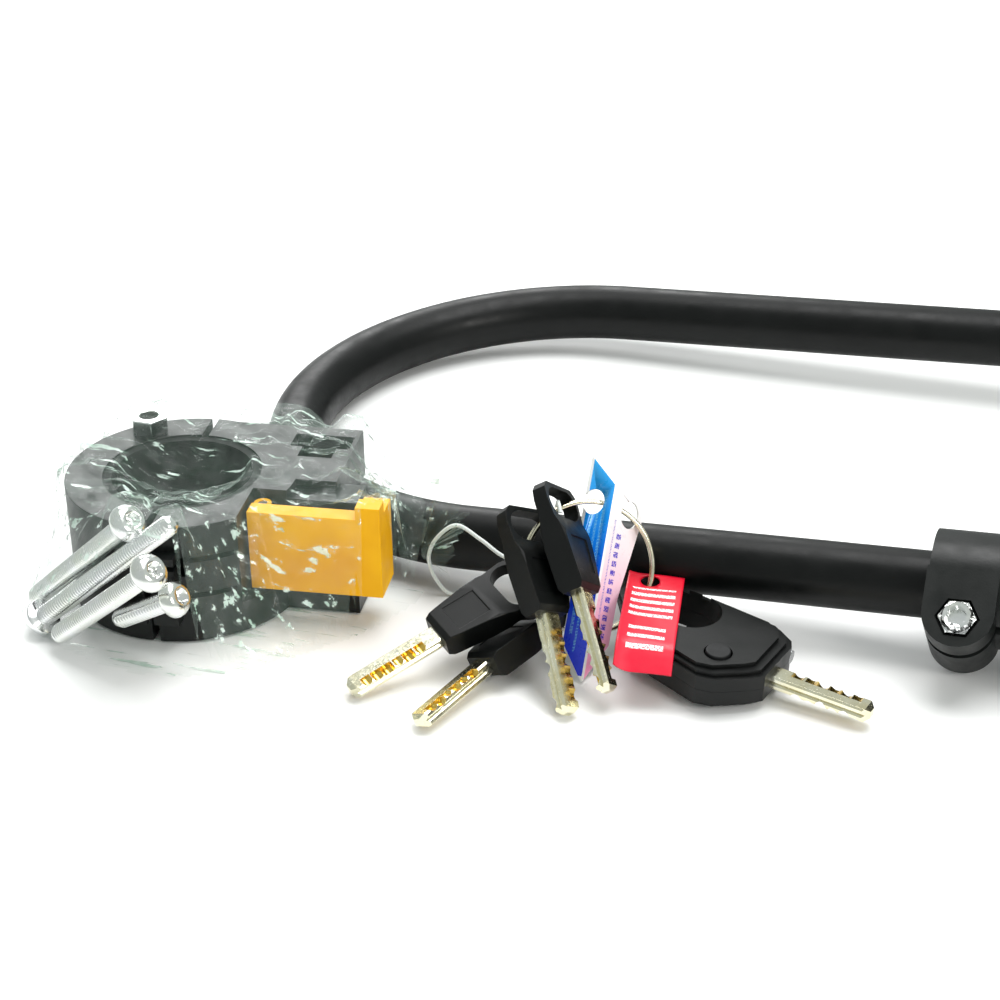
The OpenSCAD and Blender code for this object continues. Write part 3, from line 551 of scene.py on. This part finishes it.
def loose_bolts():
    sides = 30
    verts, faces = [], []
    for head, tip in BOLT_ENDS:
        a, b = Vector(head), Vector(tip)
        length = (b - a).length
        place = (b - a).to_track_quat("Z", "Y").to_matrix()
        steps = int((length - 1) / 0.16)
        rings = BOLT_HEAD + [(None, 0.25 + (length - 1) * k / steps, "thread")
                             for k in range(steps + 1)]
        rings += [(1.6, length - 0.05, "round"), (0.02, length, "round")]
        base = len(verts)
        for r, z, kind in rings:
            for k in range(sides):
                t = 2 * math.pi * k / sides
                if kind == "hex":
                    d = hexagon(t, r)
                elif kind == "thread":
                    d = thread_radius(z, k / sides, length)
                else:
                    d = r
                verts.append(row(a + place @ Vector((d * math.cos(t), d * math.sin(t), z))))
        for i in range(len(rings) - 1):
            for k in range(sides):
                m = (k + 1) % sides
                faces.append((base + i * sides + k, base + (i + 1) * sides + k,
                              base + (i + 1) * sides + m, base + i * sides + m))
    obj = mesh_object("loose_bolts_threaded", verts, faces)
    obj.data.materials.append(ZINC)
    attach(obj, "accessories")
    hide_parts("loose_bolts")


loose_bolts()


# ------------------------------------------------------------------ printed card
CARD_FOOT, CARD_LEAN = (36.7, -101.6, 0.5), 37
LEAF_TURN = {"left": 160, "right": 64}


def leaf_frame(side):
    return (Matrix.Translation(row(CARD_FOOT)) @ turn(-CARD_LEAN, 0, 0)
            @ turn(0, 0, LEAF_TURN[side]) @ turn(90, 0, 0))


BLUE_LEAF = printed(
    "card_blue", [(0.02, (0.01, 0.03, 0.72)), (0.2, (0.008, 0.07, 0.88)), (0.36, (0.0, 0.3, 0.93)),
                  (0.47, (0.02, 0.42, 0.95))],
    [(0.014, 0.022, 0.11, 0.42, 0.0032, 0.4), (0.03, 0.036, 0.06, 0.42, 0.0032, 0.4),
     (0.044, 0.052, 0.1, 0.4, 0.0032, 0.4)],
    (0.25, 0.72, 0.95), (0.0, 0.064, 0.012, 0.6))
PINK_LEAF = printed(
    "card_pink", [(0.0, (0.93, 0.32, 0.55)), (0.16, (0.95, 0.5, 0.68)), (0.3, (0.97, 0.86, 0.9)),
                  (0.42, (0.98, 0.98, 0.98))],
    [(0.016, 0.021, 0.06, 0.36, 0.0032, 0.45), (0.03, 0.046, 0.1, 0.34, 0.02, 0.62)],
    (0.07, 0.05, 0.55), (0.004, 0.2, 0.0, 0.6))
CARD_BACK = printed("card_back", [(0.0, (0.88, 0.88, 0.87)), (0.5, (0.95, 0.95, 0.95))],
                    [(0.01, 0.06, 0.08, 0.36, 0.024, 0.2)], (0.35, 0.38, 0.45))


def card():
    """The CAD card's own shape, with each leaf's layout and its printed outer side."""
    mesh = nodes["code_card"].data.copy()
    mesh.materials.clear()
    for m in (BLUE_LEAF, PINK_LEAF, CARD_BACK):
        mesh.materials.append(m)
    bm = bmesh.new()
    bm.from_mesh(mesh)
    bmesh.ops.remove_doubles(bm, verts=bm.verts, dist=WELD)
    layer = bm.loops.layers.uv.verify()
    back = {side: leaf_frame(side).inverted() for side in LEAF_TURN}
    bm.normal_update()
    for face in bm.faces:
        centre = face.calc_center_median()
        # the nearer leaf's plane, on the side where that leaf is
        side = min(back, key=lambda k: abs((back[k] @ centre).z) + ((back[k] @ centre).x < -3e-4))
        normal = back[side].to_3x3() @ face.normal
        outer = normal.z > 0.5 if side == "right" else normal.z < -0.5
        face.material_index = ("left", "right").index(side) if outer else 2
        for loop in face.loops:
            p = back[side] @ loop.vert.co
            loop[layer].uv = (p.x / PRINT_UNIT, p.y / PRINT_UNIT)
    bm.to_mesh(mesh)
    bm.free()
    obj = link(bpy.data.objects.new("printed_card", mesh))
    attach(obj, "accessories")
    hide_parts("code_card")


card()


# ------------------------------------------------------------------ tag
TAG_RED = printed(
    "tag_red", [(0.0, (0.66, 0.0, 0.02)), (0.32, (0.72, 0.001, 0.03))],
    [(0.014, 0.11, 0.058, 0.175, 0.026, 0.46), (0.02, 0.1, 0.205, 0.3, 0.03, 0.4)],
    (0.98, 0.9, 0.92), rough=0.4, coat=0.1)


def tag():
    """A soft card tag: it lies on the lighted key, bends over its front edge, and one side curls."""
    at = LIGHT @ Matrix.Translation((-0.0354, 0.0096, 0.0055)) @ turn(0, 0, 23)
    # the fold's line in Y and Z, from the tag's back edge to its front edge, in mm
    profile = catmull([Vector((0, y, z)) for y, z in
                       ((2.8, 0.15), (-4, 0.1), (-12, 0.0), (-20, 0.05), (-23.6, -0.2), (-25.6, -1.3),
                        (-27.6, -2.9), (-29.1, -4.2))], 7)
    # the hole's centre is the origin; the tag reaches from edge - width to edge
    width, edge, across = 12.4, 7.4, 31
    hole, cleared = 2.15, 2.1
    curl_width, curl_height = 3.6, 1.5
    verts, uvs, faces = [], [], []
    along = 0.0
    rows_ = len(profile)
    for i, p in enumerate(profile):
        if i:
            along += (p - profile[i - 1]).length
        for j in range(across + 1):
            x = edge - width + width * j / across
            in_curl = max(0, (edge - width + curl_width - x) / curl_width)
            curl = curl_height * in_curl ** 2 * (0.35 + 0.65 * i / rows_)
            wave = 0.12 * math.sin(0.35 * x + 0.22 * p.y)
            verts.append(at @ (Vector((x, p.y, p.z + 0.2 + curl + max(wave, -0.05))) * MM))
            uvs.append(((x - edge + width) * MM / PRINT_UNIT, along * MM / PRINT_UNIT))
    n = across + 1
    cut, kept = set(), set()
    for i in range(rows_ - 1):
        for j in range(across):
            x = edge - width + width * (j + 0.5) / across
            y = (profile[i].y + profile[i + 1].y) / 2
            quad = (i * n + j, i * n + j + 1, (i + 1) * n + j + 1, (i + 1) * n + j)
            if math.hypot(x, y) > cleared:
                faces.append(quad)
                kept.update(quad)
            else:
                cut.update(quad)
    # the hole's edge is drawn onto a true circle
    for k in cut & kept:
        local = at.inverted() @ verts[k] / MM
        flat = Vector((local.x, local.y)).normalized() * hole
        verts[k] = at @ (Vector((flat.x, flat.y, local.z)) * MM)
    obj = mesh_object("care_tag_card", verts, faces, uvs=uvs)
    obj.data.materials.append(TAG_RED)
    thick = obj.modifiers.new("thickness", "SOLIDIFY")
    thick.thickness = 0.00035
    thick.offset = 0
    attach(obj, "tag")
    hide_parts("care_tag")


tag()


# ------------------------------------------------------------------ string
STRING_DIAMETER = 0.0009
# From the split ring, behind key 3, round the bag's neck and down to the table, in mm
ROUTE = [(26.4, -83, 30.6), (25.6, -81.6, 32), (24.7, -79.8, 30.4), (23.2, -78.8, 20.6),
         (22.2, -78, 16.3), (18.6, -76.8, 12.8), (11.1, -76, 13.1), (5.3, -75.4, 16.3),
         (-0.5, -75.2, 19), (-5.3, -75.2, 15), (-7.4, -75.2, 10.4), (-7.2, -75.2, 7.1),
         (-5.8, -75.2, 3.8), (-3, -75.2, 0.9), (2.3, -75.3, 0.5), (6, -76, 0.5), (9.6, -77.2, 0.5),
         (12.8, -79, 0.5)]


def tie_string():
    points = catmull([row(p) for p in ROUTE], 8)
    obj = curve_object("string_line", points, STRING_DIAMETER / 2, sides=4)
    obj.data.materials.append(STRING)
    # an overhand knot at the free end
    centre = points[-1] + Vector((0.0006, 0.0004, 0.0007))
    knot, steps, size = [], 60, 0.00042
    for i in range(steps):
        a = 2 * math.pi * i / steps
        knot.append(centre + size * Vector((math.sin(a) + 2 * math.sin(2 * a),
                                            math.cos(a) - 2 * math.cos(2 * a),
                                            -1.3 * math.sin(3 * a))))
    tied = curve_object("string_knot", knot, size, cyclic=True)
    tied.data.materials.append(STRING)
    for o in (obj, tied):
        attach(o, "accessories")
    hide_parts("tie_string")


tie_string()


# ------------------------------------------------------------------ bag
UNDER_BAG = ("bracket_body", "bracket_strap", "bracket_liner", "release_lever", "loose_bolts",
             "loose_nuts", "shackle_coating", "lever_pin")
# The bag's outline on the table and the neck where the string gathers it, in mm
BAG_RIM = [(-93.6, -106), (-88, -117), (-62, -126.4), (-40, -122), (-19, -102), (-9.5, -84),
           (-8.6, -76.6), (-9.4, -69), (-16, -58), (-28, -44), (-44, -30), (-60, -22), (-76, -22),
           (-88, -34), (-92.6, -60)]
NECK = (-8.8, -75.6, 11.5)
STEP = 1.1                     # spacing of the film's grid, mm
LOWER_FILM_FROM = 74.8         # the lower film keeps this far from the bend's centre, mm


def solids_under_bag():
    """One search tree of what the film lies over."""
    verts, faces = [], []
    for n in UNDER_BAG:
        mesh = nodes[n].data
        base = len(verts)
        verts += [v.co.copy() for v in mesh.vertices]
        faces += [tuple(base + k for k in p.vertices) for p in mesh.polygons]
    return BVHTree.FromPolygons(verts, faces)


def sides_of(ring):
    return zip(ring, ring[1:] + ring[:1])


def inside(x, y, ring):
    hit = False
    for (x1, y1), (x2, y2) in sides_of(ring):
        if (y1 > y) != (y2 > y) and x < (x2 - x1) * (y - y1) / (y2 - y1) + x1:
            hit = not hit
    return hit


def edge_distance(px, py, ring):
    best = np.full(px.shape, np.inf)
    for (x1, y1), (x2, y2) in sides_of(ring):
        dx, dy = x2 - x1, y2 - y1
        t = np.clip(((px - x1) * dx + (py - y1) * dy) / (dx * dx + dy * dy), 0, 1)
        best = np.minimum(best, np.hypot(px - x1 - t * dx, py - y1 - t * dy))
    return best


def smooth_ring(ring):
    k = 6
    pts = [Vector((*p, 0)) for p in ring]
    line = catmull(pts[-2:] + pts + pts[:3], k)
    return [(p.x, p.y) for p in line[2 * k:(2 + len(ring)) * k]]


def floor_under(gx, gy):
    """How low the film can lie at each point of its grid, in mm."""
    solids = solids_under_bag()
    ground = np.full(gx.shape, 0.45)
    down = Vector((0, 0, -1))
    for at in np.ndindex(gx.shape):
        hit = solids.ray_cast(row((gx[at], gy[at], 60)), down, 0.1)
        if hit[0] is not None:
            ground[at] = max(ground[at], hit[0].z / MM)
    # each solid is widened a little, so that the film clears its upright sides
    wide = ground.copy()
    for dx in (-1, 0, 1):
        for dy in (-1, 0, 1):
            wide = np.maximum(wide, np.roll(np.roll(ground, dx, 0), dy, 1))
    return wide + 0.5


def draped(low, keep, from_neck):
    """Height of a membrane that hangs from the tops and can't pass through what it covers."""
    start, sag, rounds, most = 14, 0.035, 420, 24
    z = np.where(keep, np.maximum(low, start), low)
    for _ in range(rounds):
        mean = (np.roll(z, 1, 0) + np.roll(z, -1, 0) + np.roll(z, 1, 1) + np.roll(z, -1, 1)) / 4
        z = np.where(keep, np.maximum(mean - sag, low), low)
    pull = np.exp(-(from_neck / 7.0) ** 2)
    return np.maximum(z, np.minimum(NECK[2] * pull * 1.15, most))


def slack(gx, gy, keep, from_neck):
    """Height of the film's slack in mm, and its sideways wander: folds run to the neck."""
    angle = np.arctan2(gy - NECK[1], gx - NECK[0])
    folds, crinkle, side_x, side_y = (np.zeros(gx.shape) for _ in range(4))
    for at in np.ndindex(gx.shape):
        if not keep[at]:
            continue
        p = Vector((gx[at], gy[at], 0))
        folds[at] = noise.noise(Vector((angle[at] * 6.5, from_neck[at] * 0.02, 3.1)))
        broad = 1 - abs(noise.noise(p * 0.085 + Vector((7, 2, 1)))) * 2.6
        sharp = 1 - abs(noise.noise(p * 0.17 + Vector((1, 9, 4)))) * 2.8
        crinkle[at] = max(broad, 0) * 1.5 + max(sharp, 0) * 0.7
        side_x[at] = noise.noise(p * 0.11 + Vector((3, 3, 9)))
        side_y[at] = noise.noise(p * 0.11 + Vector((8, 1, 5)))
    fold_height, crinkle_height = 7.5, 1.35
    fade = np.clip(1.25 - from_neck / 60, 0.15, 1)
    return (np.clip(folds, 0, 1) * fold_height * fade + crinkle * crinkle_height, side_x, side_y)


def grid_sheet(name, chosen, place):
    """Quads over the chosen points of a grid; place(at) gives a point in mm."""
    index = -np.ones(chosen.shape, int)
    verts, faces = [], []
    for at in np.ndindex(chosen.shape):
        if chosen[at]:
            index[at] = len(verts)
            verts.append(row(place(at)))
    for i, j in np.ndindex(chosen.shape[0] - 1, chosen.shape[1] - 1):
        q = (index[i, j], index[i + 1, j], index[i + 1, j + 1], index[i, j + 1])
        if min(q) >= 0:
            faces.append(q)
    return mesh_object(name, verts, faces)


def upper_film(gx, gy, keep, ring):
    from_neck = np.hypot(gx - NECK[0], gy - NECK[1])
    low = floor_under(gx, gy)
    lift = np.clip(edge_distance(gx, gy, ring) / 7.0, 0, 1)
    height, side_x, side_y = slack(gx, gy, keep, from_neck)
    z = np.maximum(draped(low, keep, from_neck) + lift * height, low - 0.15)

    def place(at):
        shift = 0.9 * lift[at] * min(max(z[at] - low[at], 0), 1.5)
        return (gx[at] + shift * side_x[at], gy[at] + shift * side_y[at], z[at])

    return grid_sheet("bag_upper_film", keep, place)


def tail_film():
    """The gathered tail beyond the string: pleats that fan out from the neck."""
    verts, faces = [], []
    rays, steps = 90, 16
    for i in range(rays + 1):
        s = i / rays
        end = Vector((3.4 - 6.4 * (1 - s) ** 1.3 - 11.5 * max(0, s - 0.72) / 0.28 * 0.8, -75.8,
                      4.4 + 29 * s + 2.2 * math.sin(7 * s)))
        start = Vector(NECK) + Vector((0, 0, 2.4 * (s - 0.5)))
        pleat = math.sin(2 * math.pi * 7.5 * s + 0.8 * math.sin(9 * s))
        for k in range(steps + 1):
            t = k / steps
            p = start.lerp(end, t)
            p.y += (0.35 + 2.5 * t) * pleat * 0.62 - 0.8
            p.x += 0.7 * t * math.sin(2 * math.pi * 13 * s + 1)
            p.z = max(p.z, 0.6)
            verts.append(row(p))
    n = steps + 1
    for i in range(rays):
        for k in range(steps):
            faces.append((i * n + k, i * n + k + 1, (i + 1) * n + k + 1, (i + 1) * n + k))
    return mesh_object("bag_tail_film", verts, faces)


def mesh_area(obj):
    bm = bmesh.new()
    bm.from_mesh(obj.data)
    area = sum(f.calc_area() for f in bm.faces)
    bm.free()
    return area


def bag():
    ring = smooth_ring(BAG_RIM)
    gx, gy = np.meshgrid(np.arange(-98, -4, STEP), np.arange(-132, -14, STEP), indexing="ij")
    keep = np.zeros(gx.shape, bool)
    for at in np.ndindex(gx.shape):
        keep[at] = inside(gx[at], gy[at], ring)
    top = upper_film(gx, gy, keep, ring)
    tail = tail_film()
    low = grid_sheet("bag_lower_film", keep & (np.hypot(gx, gy) > LOWER_FILM_FROM),
                     lambda at: (gx[at], gy[at], 0.3))
    for o in (top, tail, low):
        o.data.materials.append(FILM)
        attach(o, "accessories")
    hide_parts("bag_film")
    for o, width, held, rests in ((top, 0.12, "draped", ["bracket_body", "loose_bolts"]),
                                  (tail, 0.024, "gathered", ["tie_string"]),
                                  (low, 0.12, "laid", ["bracket_body"])):
        # the cut sheet is a little larger than what the film shows, to the next millimetre
        area = mesh_area(o)


bag()


# ------------------------------------------------------------------ stage
def stage():
    s = Shade("table", (0.93, 0.935, 0.93), 0.5)
    s.colour(s.ramp(s.noise(2.5, 3), [(0.3, (0.9, 0.91, 0.9)), (0.7, (0.95, 0.95, 0.95))]))
    s.rough(s.grey(s.noise(30, 3), 0.45, 0.6))
    floor = mesh_object("table_top", [(-4, -4, -0.00005), (4, -4, -0.00005), (4, 4, -0.00005),
                                      (-4, 4, -0.00005)], [(0, 1, 2, 3)], False)
    floor.data.materials.append(s.mat)
    world = bpy.data.worlds.new("room")
    bpy.context.scene.world = world
    world.use_nodes = True
    back = world.node_tree.nodes["Background"]
    back.inputs["Color"].default_value = (0.94, 1.0, 0.97, 1)
    back.inputs["Strength"].default_value = 0.56
    bpy.context.scene.view_settings.view_transform = "Standard"

    def lamp(name, at, aim, size, power, colour=(1, 1, 1)):
        data = bpy.data.lights.new(name, "AREA")
        data.shape = "RECTANGLE"
        data.size, data.size_y = size
        data.energy = power
        data.color = colour
        obj = link(bpy.data.objects.new(name, data))
        obj.location = at
        obj.rotation_mode = "QUATERNION"
        obj.rotation_quaternion = (Vector(aim) - Vector(at)).to_track_quat("-Z", "Y")

    lamp("top_light", (0.05, 0.15, 0.85), (0, 0, 0), (0.7, 0.5), 7.5)
    lamp("back_light", (-0.5, 0.75, 0.5), (0, 0, 0), (0.6, 0.4), 4.5)
    lamp("key_light", (0.7, -0.5, 0.5), (0, -0.03, 0), (0.3, 0.3), 3.5, (1.0, 0.98, 0.95))


stage()
